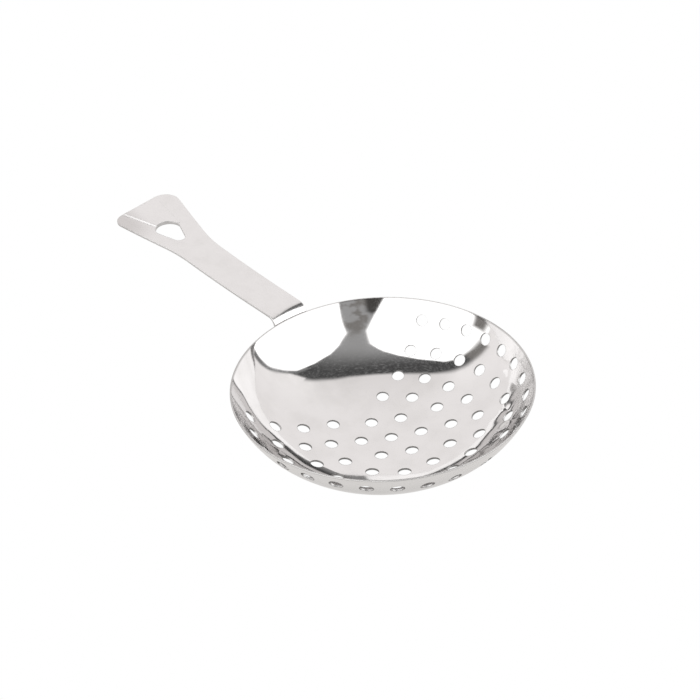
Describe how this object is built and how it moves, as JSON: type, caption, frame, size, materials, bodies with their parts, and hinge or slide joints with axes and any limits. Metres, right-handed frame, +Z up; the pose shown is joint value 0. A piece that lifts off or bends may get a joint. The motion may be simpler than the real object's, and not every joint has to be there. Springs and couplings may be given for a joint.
{
  "type": "julep strainer",
  "caption": "Bar strainer: a shallow round perforated bowl with a flat strap handle welded to its wall, flared at the end with a hanging hole.",
  "frame": {"origin": "bottom centre of the whole strainer: level with the lowest point of the bowl, halfway along the overall length", "axes": "+X from the bowl toward the end of the handle, +Z up along the bowl's axis out of its mouth, +Y completes the right-handed frame"},
  "size_m": [0.1636, 0.0798, 0.026],
  "materials": {
    "polished_steel": "mirror polished stainless steel",
    "satin_steel": "fine satin stainless steel, grained along the handle",
    "weld_steel": "dull fused steel inside the joint"
  },
  "bodies": {
    "root": {"bowl": "polished_steel", "handle": "satin_steel", "spot_welds": "weld_steel"}
  },
  "joints": []
}
